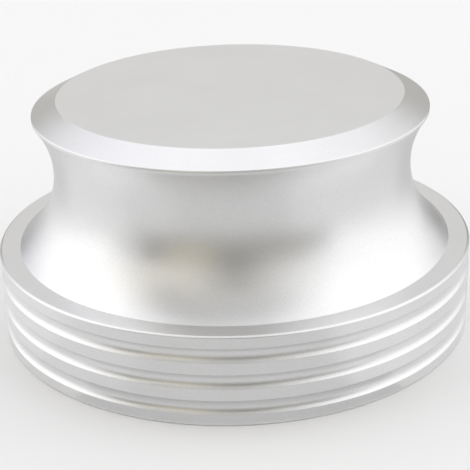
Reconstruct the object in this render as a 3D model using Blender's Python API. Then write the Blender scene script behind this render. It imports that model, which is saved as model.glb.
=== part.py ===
"""Record weight: one piece of aluminium, turned to 76 mm across and 38 mm high.

It has a base with round grooves, a concave neck, and a thin rim round a flat top. A blind hole
underneath drops over the spindle of a turntable. Metres, +Z up, on the floor, centred on +Z.
"""

import math

import bmesh
import bpy
from mathutils import Matrix, Vector

MM = 0.001

# Base: plain lands above, between and below the grooves
BASE_RADIUS = 38.0 * MM
LAND_HEIGHT = 1.87 * MM
GROOVE_COUNT = 3
GROOVE_WIDTH = 2.27 * MM
GROOVE_DEPTH = 0.52 * MM

# Neck: one concave arc from the rim down to its foot on the base's ledge
LEDGE_WIDTH = 3.3 * MM
LEDGE_BREAK_WIDTH = 0.35 * MM  # the small bevel round the ledge's outer edge, measured level
LEDGE_BREAK_ANGLE = math.radians(30.0)
NECK_HEIGHT = 21.19 * MM
WAIST_DEPTH = 2.75 * MM  # from the rim in to the narrowest place

# Rim and top
RIM_INSET = 6.86 * MM  # from the base's side in to the rim
RIM_THICKNESS = 0.5 * MM
BEVEL_WIDTH = 3.9 * MM  # from the rim in to the flat top, measured level
BEVEL_ANGLE = math.radians(26.2)

# Spindle hole: drilled and reamed for a 7.2 mm spindle
HOLE_RADIUS = 3.65 * MM
HOLE_DEPTH = 20.0 * MM
HOLE_CHAMFER = 0.5 * MM
DRILL_POINT_ANGLE = math.radians(118.0)

# Edges: how far each is rounded
BREAK_EDGE_ROUND = 0.2 * MM
BOTTOM_EDGE_ROUND = 0.4 * MM
RIM_EDGE_ROUND = 0.06 * MM
TOP_EDGE_ROUND = 0.12 * MM
GROOVE_EDGE_ROUND = 0.09 * MM

# Facets
FLATS_ROUND_AXIS = 72
CHORD_GAP = 0.02 * MM  # the most that a flat may stray from the arc that it stands for
MOST_OF_SIDE = 0.45  # the share of a side that a rounded corner may use up
SHARP_ANGLE = math.radians(30.0)

ALUMINIUM_COLOUR = (0.80, 0.80, 0.79, 1.0)
ALUMINIUM_ROUGHNESS = 0.34


def clear_scene():
    for obj in list(bpy.data.objects):
        bpy.data.objects.remove(obj, do_unlink=True)


def arc_steps(radius, sweep):
    """How many flats keep within CHORD_GAP of an arc."""
    widest = 2.0 * math.acos(1.0 - min(CHORD_GAP / radius, 1.0))
    return max(1, math.ceil(abs(sweep) / widest))


def hollow(upper, lower, waist_radius):
    """The points between two corners on the concave arc whose narrowest place is at waist_radius."""
    upper_out = upper.x - waist_radius
    lower_out = lower.x - waist_radius
    rise = upper.y - lower.y
    spread = upper_out - lower_out
    waist_rise = lower_out * (rise**2 + upper_out * spread) / (
        math.sqrt(upper_out * lower_out * (rise**2 + spread**2)) + lower_out * rise
    )
    radius = (lower_out**2 + waist_rise**2) / (2.0 * lower_out)
    centre = Vector((waist_radius + radius, lower.y + waist_rise))
    start = math.atan2(upper.y - centre.y, upper.x - centre.x) % math.tau
    sweep = math.atan2(lower.y - centre.y, lower.x - centre.x) % math.tau - start
    steps = arc_steps(radius, sweep)
    angles = [start + sweep * step / steps for step in range(1, steps)]
    return [centre + radius * Vector((math.cos(a), math.sin(a))) for a in angles]


def rounded(before, corner, after, radius):
    """The points of an arc that touches both sides of a corner, in place of the corner."""
    back = before - corner
    ahead = after - corner
    half_angle = back.angle(ahead) / 2.0
    reach = min(radius / math.tan(half_angle), MOST_OF_SIDE * min(back.length, ahead.length))
    radius = reach * math.tan(half_angle)
    centre = corner + (back.normalized() + ahead.normalized()).normalized() * reach / math.cos(half_angle)
    spoke = corner + back.normalized() * reach - centre
    sweep = spoke.angle_signed(corner + ahead.normalized() * reach - centre)
    steps = arc_steps(radius, sweep)
    return [centre + Matrix.Rotation(-sweep * step / steps, 2) @ spoke for step in range(steps + 1)]


def section_corners():
    """Half the section as (point, edge round): from the top's centre down the outside and up the hole."""
    base_height = (GROOVE_COUNT + 1) * LAND_HEIGHT + GROOVE_COUNT * GROOVE_WIDTH
    rim_radius = BASE_RADIUS - RIM_INSET
    rim_bottom = base_height + NECK_HEIGHT
    rim_top = rim_bottom + RIM_THICKNESS
    top_height = rim_top + BEVEL_WIDTH * math.tan(BEVEL_ANGLE)
    break_drop = LEDGE_BREAK_WIDTH * math.tan(LEDGE_BREAK_ANGLE)
    point_height = HOLE_RADIUS / math.tan(DRILL_POINT_ANGLE / 2.0)

    rim_underside = Vector((rim_radius, rim_bottom))
    foot = Vector((BASE_RADIUS - LEDGE_WIDTH, base_height))
    corners = [
        (Vector((0.0, top_height)), 0.0),
        (Vector((rim_radius - BEVEL_WIDTH, top_height)), TOP_EDGE_ROUND),
        (Vector((rim_radius, rim_top)), RIM_EDGE_ROUND),
        (rim_underside, GROOVE_EDGE_ROUND),
    ]
    corners += [(point, 0.0) for point in hollow(rim_underside, foot, rim_radius - WAIST_DEPTH)]
    corners += [
        (foot, 0.0),
        (Vector((BASE_RADIUS - LEDGE_BREAK_WIDTH, base_height)), BREAK_EDGE_ROUND),
        (Vector((BASE_RADIUS, base_height - break_drop)), BREAK_EDGE_ROUND),
    ]
    for groove in range(GROOVE_COUNT):
        groove_top = base_height - LAND_HEIGHT - groove * (LAND_HEIGHT + GROOVE_WIDTH)
        upper = Vector((BASE_RADIUS, groove_top))
        lower = Vector((BASE_RADIUS, groove_top - GROOVE_WIDTH))
        corners.append((upper, GROOVE_EDGE_ROUND))
        corners += [(point, 0.0) for point in hollow(upper, lower, BASE_RADIUS - GROOVE_DEPTH)]
        corners.append((lower, GROOVE_EDGE_ROUND))
    corners += [
        (Vector((BASE_RADIUS, 0.0)), BOTTOM_EDGE_ROUND),
        (Vector((HOLE_RADIUS + HOLE_CHAMFER, 0.0)), 0.0),
        (Vector((HOLE_RADIUS, HOLE_CHAMFER)), 0.0),
        (Vector((HOLE_RADIUS, HOLE_DEPTH)), 0.0),
        (Vector((0.0, HOLE_DEPTH + point_height)), 0.0),
    ]
    return corners


def section_outline():
    """The half section with its edges rounded."""
    corners = section_corners()
    outline = []
    for index, (corner, radius) in enumerate(corners):
        if radius:
            outline += rounded(corners[index - 1][0], corner, corners[index + 1][0], radius)
        else:
            outline.append(corner)
    return outline


def turned_mesh(name, outline):
    """Turns an outline that starts and ends on the axis into one closed skin."""
    bm = bmesh.new()
    verts = [bm.verts.new((point.x, 0.0, point.y)) for point in outline]
    edges = [bm.edges.new(pair) for pair in zip(verts, verts[1:])]
    bmesh.ops.spin(
        bm,
        geom=verts + edges,
        cent=(0.0, 0.0, 0.0),
        axis=(0.0, 0.0, 1.0),
        angle=math.tau,
        steps=FLATS_ROUND_AXIS,
        use_merge=True,
    )
    bmesh.ops.remove_doubles(bm, verts=bm.verts, dist=0.001 * MM)
    bmesh.ops.recalc_face_normals(bm, faces=bm.faces)
    mesh = bpy.data.meshes.new(name)
    bm.to_mesh(mesh)
    bm.free()
    mesh.shade_smooth()
    mesh.set_sharp_from_angle(angle=SHARP_ANGLE)
    return mesh


def anodised_aluminium():
    material = bpy.data.materials.new("anodised_aluminium")
    material.use_nodes = True
    shader = material.node_tree.nodes["Principled BSDF"]
    shader.inputs["Base Color"].default_value = ALUMINIUM_COLOUR
    shader.inputs["Metallic"].default_value = 1.0
    shader.inputs["Roughness"].default_value = ALUMINIUM_ROUGHNESS
    return material


def make_weight_body():
    mesh = turned_mesh("weight_body", section_outline())
    mesh.materials.append(anodised_aluminium())
    body = bpy.data.objects.new("weight_body", mesh)
    bpy.context.scene.collection.objects.link(body)


clear_scene()
make_weight_body()
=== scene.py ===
"""Looks of the record weight: a finely turned skin in satin anodised aluminium, in a plain pale studio.

Metres, +Z up, on the floor, centred on +Z. The camera stands on the -Y side.
"""

import math

import bpy
from mathutils import Matrix, Vector


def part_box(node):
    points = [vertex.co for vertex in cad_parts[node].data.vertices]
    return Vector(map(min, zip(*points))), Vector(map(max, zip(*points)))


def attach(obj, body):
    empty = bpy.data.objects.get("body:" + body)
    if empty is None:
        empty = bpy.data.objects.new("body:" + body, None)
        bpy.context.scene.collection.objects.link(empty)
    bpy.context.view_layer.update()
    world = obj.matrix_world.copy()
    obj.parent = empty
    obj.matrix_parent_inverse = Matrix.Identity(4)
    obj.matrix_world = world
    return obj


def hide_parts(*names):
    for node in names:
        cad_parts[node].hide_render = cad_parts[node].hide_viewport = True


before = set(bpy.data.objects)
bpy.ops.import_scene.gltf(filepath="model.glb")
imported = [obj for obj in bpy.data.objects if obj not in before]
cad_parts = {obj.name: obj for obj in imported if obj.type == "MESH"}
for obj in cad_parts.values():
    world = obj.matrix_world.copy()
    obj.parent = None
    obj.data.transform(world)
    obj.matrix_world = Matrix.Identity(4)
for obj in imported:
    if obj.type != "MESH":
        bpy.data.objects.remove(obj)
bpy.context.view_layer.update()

MM = 0.001

# Base: plain lands above, between and below the grooves. The part gives its radius and the whole height.
BASE_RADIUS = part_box("weight_body")[1].x
TOTAL_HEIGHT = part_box("weight_body")[1].z
LAND_HEIGHT = 1.87 * MM
GROOVE_COUNT = 3
GROOVE_WIDTH = 2.27 * MM
GROOVE_DEPTH = 0.52 * MM

# Neck: one concave arc from the rim down to its foot on the base's ledge
LEDGE_WIDTH = 3.3 * MM
LEDGE_BREAK_WIDTH = 0.35 * MM  # the small bevel round the ledge's outer edge, measured level
LEDGE_BREAK_ANGLE = math.radians(30.0)
WAIST_DEPTH = 2.75 * MM  # from the rim in to the narrowest place

# Rim and top
RIM_INSET = 6.86 * MM  # from the base's side in to the rim
RIM_THICKNESS = 0.5 * MM
BEVEL_WIDTH = 3.9 * MM  # from the rim in to the flat top, measured level
BEVEL_ANGLE = math.radians(26.2)
BEVEL_DROP = BEVEL_WIDTH * math.tan(BEVEL_ANGLE)

# Spindle hole
HOLE_RADIUS = 3.65 * MM
HOLE_DEPTH = 20.0 * MM
HOLE_CHAMFER = 0.5 * MM
DRILL_POINT_ANGLE = math.radians(118.0)

# Edges: how far each is rounded
BREAK_EDGE_ROUND = 0.2 * MM
BOTTOM_EDGE_ROUND = 0.4 * MM
RIM_EDGE_ROUND = 0.18 * MM
TOP_EDGE_ROUND = 0.12 * MM
GROOVE_EDGE_ROUND = 0.09 * MM

# Fineness of the skin
STEPS_ROUND_AXIS = 480
CHORD_GAP = 0.002 * MM  # the most that a flat may stray from the arc that it stands for
MERGE_GAP = 0.0001 * MM
MOST_OF_SIDE = 0.45  # the share of a side that a rounded corner may use up
SHARP_ANGLE = math.radians(30.0)

# Finish: blasted grain, turning lines and slow blotches of tone
GRAIN_SIZE = 0.26 * MM
GRAIN_DEPTH = 0.012 * MM
GRAIN_SHARE_OF_TONE = 0.7  # the rest of the tone comes from the blotches
TOP_CALM = 0.7  # the share of the grain that the flat top goes without
LINE_SIZE = 0.3 * MM
LINE_DEPTH = 0.002 * MM
LINE_DRIFT = 0.01  # change along a line, as a share of the change across it
BLOTCH_SIZE = 9.0 * MM
NOISE_DETAIL = 2.0
NOISE_MIDDLE = 0.5
NOISE_ENDS = (0.3, 0.7)
DARK_TONE = 0.805
LIGHT_TONE = 0.875
ROUGHNESS_ENDS = (0.33, 0.37)

# Camera: a pinhole whose place and angles, in radians, match the photo's frame of 470 by 470 pixels
FRAME_PIXELS = 470
FOCAL_PIXELS = 1306.95
SENSOR_WIDTH = 36.0  # in millimetres
CAMERA_DISTANCE = 197.14 * MM
CAMERA_HEIGHT = 98.28 * MM
CAMERA_PAN = 0.0006
CAMERA_TILT = 0.4077
CAMERA_ROLL = -0.0319
CLIP_START = 1.0 * MM
CLIP_END = 20.0

# Floor and world
FLOOR_HALF = 3.0  # half of the floor's side
FLOOR_TONE = 0.95
WORLD_STRENGTH = 1.0

# Standing cards: how far from the object each layer is, so that a nearer card covers a farther one
FAR = 1.2
MIDDLE = 1.1
CLOSER = 1.0
NEAR = 0.16

# Painted reflections of the floor, as sheets that only the metal sees: their height, their gap from the
# base, and how far out each ring reaches
FLOOR_REFLECTION_HEIGHT = 0.3 * MM
FLOOR_REFLECTION_GAP = 0.3 * MM
FOOT_RADIUS = 42.0 * MM
SIDE_FLOOR_RADIUS = 120.0 * MM
FRONT_FLOOR_RADIUS = 158.0 * MM
BACK_FLOOR_RADIUS = 500.0 * MM

# Fineness of the cards
DEGREES_PER_FACE = 5.0
FEWEST_FACES = 2

# Tints of the cards
NEUTRAL = (1.0, 1.0, 1.0)
COOL = (0.94, 0.94, 1.0)
VIOLET = (0.98, 0.97, 1.0)
WARM = (1.0, 0.96, 0.87)
TAN = (1.0, 0.92, 0.70)


def arc_steps(radius, sweep):
    """How many straight steps keep within CHORD_GAP of an arc."""
    widest = 2.0 * math.acos(1.0 - min(CHORD_GAP / radius, 1.0))
    return max(1, math.ceil(abs(sweep) / widest))


def hollow(upper, lower, waist_radius):
    """The points between two corners on the concave arc whose narrowest place is at waist_radius."""
    upper_out = upper.x - waist_radius
    lower_out = lower.x - waist_radius
    rise = upper.y - lower.y
    spread = upper_out - lower_out
    waist_rise = lower_out * (rise**2 + upper_out * spread) / (
        math.sqrt(upper_out * lower_out * (rise**2 + spread**2)) + lower_out * rise
    )
    radius = (lower_out**2 + waist_rise**2) / (2.0 * lower_out)
    centre = Vector((waist_radius + radius, lower.y + waist_rise))
    start = math.atan2(upper.y - centre.y, upper.x - centre.x) % math.tau
    sweep = math.atan2(lower.y - centre.y, lower.x - centre.x) % math.tau - start
    steps = arc_steps(radius, sweep)
    angles = [start + sweep * step / steps for step in range(1, steps)]
    return [centre + radius * Vector((math.cos(a), math.sin(a))) for a in angles]


def rounded(before, corner, after, radius):
    """The points of an arc that touches both sides of a corner, in place of the corner."""
    back = before - corner
    ahead = after - corner
    half_angle = back.angle(ahead) / 2.0
    reach = min(radius / math.tan(half_angle), MOST_OF_SIDE * min(back.length, ahead.length))
    radius = reach * math.tan(half_angle)
    centre = corner + (back.normalized() + ahead.normalized()).normalized() * reach / math.cos(half_angle)
    spoke = corner + back.normalized() * reach - centre
    sweep = spoke.angle_signed(corner + ahead.normalized() * reach - centre)
    steps = arc_steps(radius, sweep)
    return [centre + Matrix.Rotation(-sweep * step / steps, 2) @ spoke for step in range(steps + 1)]


def section_corners():
    """Half the section as (point, edge round): from the top's centre down the outside and up the hole."""
    base_height = (GROOVE_COUNT + 1) * LAND_HEIGHT + GROOVE_COUNT * GROOVE_WIDTH
    rim_radius = BASE_RADIUS - RIM_INSET
    rim_top = TOTAL_HEIGHT - BEVEL_DROP
    rim_bottom = rim_top - RIM_THICKNESS
    break_drop = LEDGE_BREAK_WIDTH * math.tan(LEDGE_BREAK_ANGLE)
    point_height = HOLE_RADIUS / math.tan(DRILL_POINT_ANGLE / 2.0)

    rim_underside = Vector((rim_radius, rim_bottom))
    foot = Vector((BASE_RADIUS - LEDGE_WIDTH, base_height))
    corners = [
        (Vector((0.0, TOTAL_HEIGHT)), 0.0),
        (Vector((rim_radius - BEVEL_WIDTH, TOTAL_HEIGHT)), TOP_EDGE_ROUND),
        (Vector((rim_radius, rim_top)), RIM_EDGE_ROUND),
        (rim_underside, RIM_EDGE_ROUND),
    ]
    corners += [(point, 0.0) for point in hollow(rim_underside, foot, rim_radius - WAIST_DEPTH)]
    corners += [
        (foot, 0.0),
        (Vector((BASE_RADIUS - LEDGE_BREAK_WIDTH, base_height)), BREAK_EDGE_ROUND),
        (Vector((BASE_RADIUS, base_height - break_drop)), BREAK_EDGE_ROUND),
    ]
    for groove in range(GROOVE_COUNT):
        groove_top = base_height - LAND_HEIGHT - groove * (LAND_HEIGHT + GROOVE_WIDTH)
        upper = Vector((BASE_RADIUS, groove_top))
        lower = Vector((BASE_RADIUS, groove_top - GROOVE_WIDTH))
        corners.append((upper, GROOVE_EDGE_ROUND))
        corners += [(point, 0.0) for point in hollow(upper, lower, BASE_RADIUS - GROOVE_DEPTH)]
        corners.append((lower, GROOVE_EDGE_ROUND))
    corners += [
        (Vector((BASE_RADIUS, 0.0)), BOTTOM_EDGE_ROUND),
        (Vector((HOLE_RADIUS + HOLE_CHAMFER, 0.0)), 0.0),
        (Vector((HOLE_RADIUS, HOLE_CHAMFER)), 0.0),
        (Vector((HOLE_RADIUS, HOLE_DEPTH)), 0.0),
        (Vector((0.0, HOLE_DEPTH + point_height)), 0.0),
    ]
    return corners


def section_outline():
    """The half section with its edges rounded."""
    corners = section_corners()
    outline = []
    for index, (corner, radius) in enumerate(corners):
        if radius:
            outline += rounded(corners[index - 1][0], corner, corners[index + 1][0], radius)
        else:
            outline.append(corner)
    return outline


def turned_skin(name, outline):
    """Turns an outline that starts and ends on the axis into one closed skin."""
    points = [(point.x, 0.0, point.y) for point in outline]
    profile = bpy.data.meshes.new(name)
    profile.from_pydata(points, [(index, index + 1) for index in range(len(points) - 1)], [])
    turned = bpy.data.objects.new(name, profile)
    bpy.context.scene.collection.objects.link(turned)
    screw = turned.modifiers.new("turn", "SCREW")
    screw.steps = STEPS_ROUND_AXIS
    screw.render_steps = STEPS_ROUND_AXIS
    screw.use_merge_vertices = True
    screw.merge_threshold = MERGE_GAP
    depsgraph = bpy.context.evaluated_depsgraph_get()
    mesh = bpy.data.meshes.new_from_object(turned.evaluated_get(depsgraph))
    turned.modifiers.remove(screw)
    turned.data = mesh
    bpy.data.meshes.remove(profile)
    mesh.name = name
    mesh.shade_smooth()
    mesh.set_sharp_from_angle(angle=SHARP_ANGLE)
    return turned


def grey(tone):
    """An opaque grey."""
    return (tone, tone, tone, 1.0)


def noise(tree, place, size):
    """Soft noise from 0 to 1 whose blotches are about size across."""
    node = tree.nodes.new("ShaderNodeTexNoise")
    node.inputs["Scale"].default_value = 1.0 / size
    node.inputs["Detail"].default_value = NOISE_DETAIL
    tree.links.new(place, node.inputs["Vector"])
    return node.outputs["Fac"]


def vector_step(tree, operation, *values):
    """One step of vector arithmetic on sockets and plain vectors."""
    node = tree.nodes.new("ShaderNodeVectorMath")
    node.operation = operation
    for socket, value in zip(node.inputs, values):
        if isinstance(value, tuple):
            socket.default_value = value
        else:
            tree.links.new(value, socket)
    return node


def height(tree, place):
    """How far above the floor each point of the surface is."""
    split = tree.nodes.new("ShaderNodeSeparateXYZ")
    tree.links.new(place, split.inputs["Vector"])
    return split.outputs["Z"]


def radius_and_height(tree, place):
    """The same place for every point of a circle round the axis, apart from a slow drift along it."""
    flat = vector_step(tree, "MULTIPLY", place, (1.0, 1.0, 0.0))
    radius = vector_step(tree, "LENGTH", flat.outputs["Vector"])
    circle = tree.nodes.new("ShaderNodeCombineXYZ")
    tree.links.new(radius.outputs["Value"], circle.inputs["X"])
    tree.links.new(height(tree, place), circle.inputs["Z"])
    drift = (LINE_DRIFT, LINE_DRIFT, LINE_DRIFT)
    return vector_step(tree, "MULTIPLY_ADD", place, drift, circle.outputs["Vector"]).outputs["Vector"]


def mapped(tree, value, ends, results):
    """Maps a value between two ends to two results, and holds what lies outside at the nearer result."""
    node = tree.nodes.new("ShaderNodeMapRange")
    node.inputs["From Min"].default_value = ends[0]
    node.inputs["From Max"].default_value = ends[1]
    node.inputs["To Min"].default_value = results[0]
    node.inputs["To Max"].default_value = results[1]
    tree.links.new(value, node.inputs["Value"])
    return node.outputs["Result"]


def mixed(tree, share, first, second):
    """The first value, with the given share of the second in its place."""
    node = tree.nodes.new("ShaderNodeMix")
    for socket, value in (("Factor", share), ("A", first), ("B", second)):
        if isinstance(value, float):
            node.inputs[socket].default_value = value
        else:
            tree.links.new(value, node.inputs[socket])
    return node.outputs["Result"]


def relief(tree, pattern, depth, under=None):
    """Bump of the given depth, on top of another bump's normal where there is one."""
    node = tree.nodes.new("ShaderNodeBump")
    node.inputs["Distance"].default_value = depth
    tree.links.new(pattern, node.inputs["Height"])
    if under:
        tree.links.new(under, node.inputs["Normal"])
    return node.outputs["Normal"]


def satin_aluminium():
    """Clear-anodised aluminium: a fine blasted grain over faint turning lines, and a calmer top face."""
    material = bpy.data.materials.new("satin_aluminium")
    material.use_nodes = True
    tree = material.node_tree
    shader = tree.nodes["Principled BSDF"]
    shader.inputs["Metallic"].default_value = 1.0

    place = tree.nodes.new("ShaderNodeTexCoord").outputs["Object"]
    bevel_heights = (TOTAL_HEIGHT - BEVEL_DROP, TOTAL_HEIGHT)
    calm = mapped(tree, height(tree, place), bevel_heights, (0.0, TOP_CALM))
    grain = mixed(tree, calm, noise(tree, place, GRAIN_SIZE), NOISE_MIDDLE)
    blotches = noise(tree, place, BLOTCH_SIZE)
    lines = noise(tree, radius_and_height(tree, place), LINE_SIZE)

    tone = tree.nodes.new("ShaderNodeValToRGB")
    for end, position, end_tone in zip(tone.color_ramp.elements, NOISE_ENDS, (DARK_TONE, LIGHT_TONE)):
        end.position = position
        end.color = grey(end_tone)
    tree.links.new(mixed(tree, GRAIN_SHARE_OF_TONE, blotches, grain), tone.inputs["Fac"])
    tree.links.new(tone.outputs["Color"], shader.inputs["Base Color"])
    tree.links.new(mapped(tree, lines, NOISE_ENDS, ROUGHNESS_ENDS), shader.inputs["Roughness"])
    turned = relief(tree, lines, LINE_DEPTH)
    tree.links.new(relief(tree, grain, GRAIN_DEPTH, under=turned), shader.inputs["Normal"])
    return material


def make_weight():
    """The whole weight, in place of the plain solid, with flat faces that shade as flat."""
    weight = turned_skin("turned_weight", section_outline())
    weight.data.materials.append(satin_aluminium())
    normals = weight.modifiers.new("flat_faces_keep_their_normals", "WEIGHTED_NORMAL")
    normals.keep_sharp = True
    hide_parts("weight_body")
    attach(weight, "root")


def make_camera():
    """A camera with the photo's place, direction, roll and focal length."""
    forward = Vector((
        math.sin(CAMERA_PAN) * math.cos(CAMERA_TILT),
        math.cos(CAMERA_PAN) * math.cos(CAMERA_TILT),
        -math.sin(CAMERA_TILT),
    ))
    level_right = forward.cross(Vector((0.0, 0.0, 1.0))).normalized()
    level_up = level_right.cross(forward)
    right = math.cos(CAMERA_ROLL) * level_right + math.sin(CAMERA_ROLL) * level_up
    up = math.cos(CAMERA_ROLL) * level_up - math.sin(CAMERA_ROLL) * level_right
    data = bpy.data.cameras.new("photo_camera")
    data.sensor_width = SENSOR_WIDTH
    data.lens = FOCAL_PIXELS * SENSOR_WIDTH / FRAME_PIXELS
    data.clip_start = CLIP_START
    data.clip_end = CLIP_END
    camera = bpy.data.objects.new("photo_camera", data)
    turn = Matrix((right, up, -forward)).transposed().to_4x4()
    camera.matrix_world = Matrix.Translation((0.0, -CAMERA_DISTANCE, CAMERA_HEIGHT)) @ turn
    bpy.context.scene.collection.objects.link(camera)
    bpy.context.scene.camera = camera


def stage_piece(name, verts, faces, material):
    """A surface of the studio, which isn't part of the object."""
    mesh = bpy.data.meshes.new(name)
    mesh.from_pydata(verts, [], faces)
    mesh.materials.append(material)
    piece = bpy.data.objects.new(name, mesh)
    bpy.context.scene.collection.objects.link(piece)
    return piece


def make_floor():
    """A plain pale floor without any gloss."""
    material = bpy.data.materials.new("studio_floor")
    material.use_nodes = True
    shader = material.node_tree.nodes["Principled BSDF"]
    shader.inputs["Base Color"].default_value = grey(FLOOR_TONE)
    shader.inputs["Roughness"].default_value = 1.0
    shader.inputs["Specular IOR Level"].default_value = 0.0
    corners = [(x * FLOOR_HALF, y * FLOOR_HALF, 0.0) for x, y in ((-1, -1), (1, -1), (1, 1), (-1, 1))]
    stage_piece("studio_floor", corners, [(0, 1, 2, 3)], material)


def glow(name, radiance, tint):
    """A material that shines evenly, as a lit diffuser or a shaded card does."""
    material = bpy.data.materials.new(name)
    material.use_nodes = True
    nodes = material.node_tree.nodes
    nodes.clear()
    emission = nodes.new("ShaderNodeEmission")
    emission.inputs["Color"].default_value = (*tint, 1.0)
    emission.inputs["Strength"].default_value = radiance
    output = nodes.new("ShaderNodeOutputMaterial")
    material.node_tree.links.new(emission.outputs["Emission"], output.inputs["Surface"])
    material.cycles.emission_sampling = "NONE"
    return material


def stops(ends):
    """Even steps from one angle to another: each about DEGREES_PER_FACE wide, and at least FEWEST_FACES."""
    steps = max(FEWEST_FACES, round((ends[1] - ends[0]) / DEGREES_PER_FACE))
    return [ends[0] + (ends[1] - ends[0]) * step / steps for step in range(steps + 1)]


def fan(azimuths, radii, heights):
    """Corners and faces of a strip round the axis, with one row of corners for each radius and height."""
    turns = [math.radians(azimuth) for azimuth in stops(azimuths)]
    verts = []
    for radius, level in zip(radii, heights):
        verts += [(radius * math.sin(turn), -radius * math.cos(turn), level) for turn in turns]
    faces = []
    for row in range(len(radii) - 1):
        for column in range(len(turns) - 1):
            first = row * len(turns) + column
            faces.append((first, first + 1, first + len(turns) + 1, first + len(turns)))
    return verts, faces


def card(name, radiance, azimuths, elevations, distance=FAR, tint=NEUTRAL):
    """A card on a sphere round the object, from one azimuth and elevation to another, in degrees.

    Azimuth 0 is the camera's side, and + is to its right. A near card shows in the metal alone, and
    neither lights nor shades the floor.
    """
    rises = [math.radians(elevation) for elevation in stops(elevations)]
    radii = [distance * math.cos(rise) for rise in rises]
    heights = [distance * math.sin(rise) for rise in rises]
    verts, faces = fan(azimuths, radii, heights)
    piece = stage_piece(name, verts, faces, glow(name, radiance, tint))
    piece.visible_camera = False
    piece.visible_diffuse = distance != NEAR


def painted_floor_reflection(name, radiance, azimuths, radii):
    """A grey sheet just above the floor, a painted reflection of a darker floor. Only the metal shows it,
    so the floor itself stays plain.
    """
    verts, faces = fan(azimuths, radii, (FLOOR_REFLECTION_HEIGHT, FLOOR_REFLECTION_HEIGHT))
    piece = stage_piece(name, verts, faces, glow(name, radiance, NEUTRAL))
    piece.visible_camera = False
    piece.visible_diffuse = False
    piece.visible_shadow = False


def make_softboxes():
    """Two softboxes, brighter in their upper halves, and a strip high above the sides and the back."""
    card("card_right_softbox_high", 1.34, (52, 128), (28, 62))
    card("card_right_softbox_low", 1.20, (52, 128), (0, 28))
    card("card_left_softbox_high", 1.41, (-128, -68), (28, 62))
    card("card_left_softbox_low", 1.31, (-128, -68), (0, 28))
    card("card_overhead", 1.24, (45, 285), (62, 77), tint=VIOLET)


def make_front_cards():
    """The camera's side of the studio, with darker cards in front of its middle and its left."""
    card("card_front_left", 0.88, (-68, -8), (16, 48), tint=WARM)
    card("card_front_right", 0.82, (-8, 37), (16, 48))
    card("card_front_top", 0.55, (-72, 41), (48, 77))
    card("card_left_shade", 0.25, (-52, -38), (35, 62), MIDDLE)
    card("card_front_shade", 0.62, (-22, 22), (16, 45), MIDDLE, WARM)
    card("card_front_centre", 0.27, (-8, 8), (16, 45), CLOSER)


def make_back_cards():
    """A grey wall behind the object, with dark gaps beside its lower part."""
    card("card_right_gap", 0.82, (128, 142), (0, 62))
    card("card_left_gap", 0.94, (-142, -128), (0, 62), tint=COOL)
    card("card_back_wall", 0.75, (142, 218), (16, 38))
    card("card_back_high", 0.94, (165, 195), (38, 62))
    card("card_back_high_right", 1.15, (142, 165), (38, 62), tint=COOL)
    card("card_back_high_left", 1.15, (195, 218), (38, 62), tint=COOL)
    card("card_back_low", 0.66, (166, 194), (0, 16), tint=WARM)
    card("card_back_low_right", 0.44, (150, 166), (0, 25), MIDDLE, WARM)
    card("card_back_low_left", 0.48, (194, 210), (0, 25), MIDDLE, WARM)
    card("card_back_gap_right", 0.0, (142, 150), (0, 25), MIDDLE)
    card("card_back_gap_left", 0.05, (210, 218), (0, 25), MIDDLE)


def make_near_cards():
    """Low grey cards close in front of the object, which give the neck its dark band and warm patch."""
    card("card_near_edge", 0.20, (-52, 37), (0, 4), NEAR)
    card("card_near_left", 0.72, (-68, -52), (0, 16), NEAR)
    card("card_near_dark", 0.14, (-52, -37), (4, 20), NEAR)
    card("card_near_front_left", 0.54, (-37, -12), (4, 20), NEAR, TAN)
    card("card_near_body", 0.43, (-12, 12), (4, 12), NEAR, WARM)
    card("card_near_body_top", 0.09, (-12, 12), (12, 20), NEAR)
    card("card_near_front_right", 0.39, (12, 37), (4, 20), NEAR, WARM)
    card("card_near_right", 0.47, (37, 52), (0, 16), NEAR)


def make_painted_floor_reflections():
    """Rings of painted floor reflection, darkest behind the object. Round the foot and in front of the
    object they are painted shade: its contact shadow and a darker floor in front of it.
    """
    front = (FOOT_RADIUS, FRONT_FLOOR_RADIUS)
    side = (FOOT_RADIUS, SIDE_FLOOR_RADIUS)
    back = (SIDE_FLOOR_RADIUS, BACK_FLOOR_RADIUS)
    # The first ring is the object's painted contact shadow round its foot; the next three are painted shade
    # of the floor in front of it.
    painted_floor_reflection("painted_shadow_floor_foot", 0.56, (-40, 40), (BASE_RADIUS + FLOOR_REFLECTION_GAP, FOOT_RADIUS))
    painted_floor_reflection("painted_shade_floor_front", 0.67, (-30, 30), front)
    painted_floor_reflection("painted_shade_floor_front_left", 0.75, (-60, -30), front)
    painted_floor_reflection("painted_shade_floor_front_right", 0.83, (30, 60), front)
    painted_floor_reflection("painted_reflection_floor_left", 0.85, (-110, -60), side)
    painted_floor_reflection("painted_reflection_floor_right", 0.79, (60, 110), side)
    painted_floor_reflection("painted_reflection_floor_back_left", 0.64, (180, 250), side)
    painted_floor_reflection("painted_reflection_floor_back_right", 0.58, (110, 180), side)
    painted_floor_reflection("painted_reflection_floor_far_left", 0.47, (180, 225), back)
    painted_floor_reflection("painted_reflection_floor_far_right", 0.14, (135, 180), back)


def make_world():
    """A plain white world behind the cards and the floor."""
    world = bpy.data.worlds.new("studio")
    world.use_nodes = True
    background = world.node_tree.nodes["Background"]
    background.inputs["Color"].default_value = (*NEUTRAL, 1.0)
    background.inputs["Strength"].default_value = WORLD_STRENGTH
    bpy.context.scene.world = world


make_weight()
make_camera()
make_floor()
make_softboxes()
make_front_cards()
make_back_cards()
make_near_cards()
make_painted_floor_reflections()
make_world()
bpy.context.scene.view_settings.view_transform = "Standard"
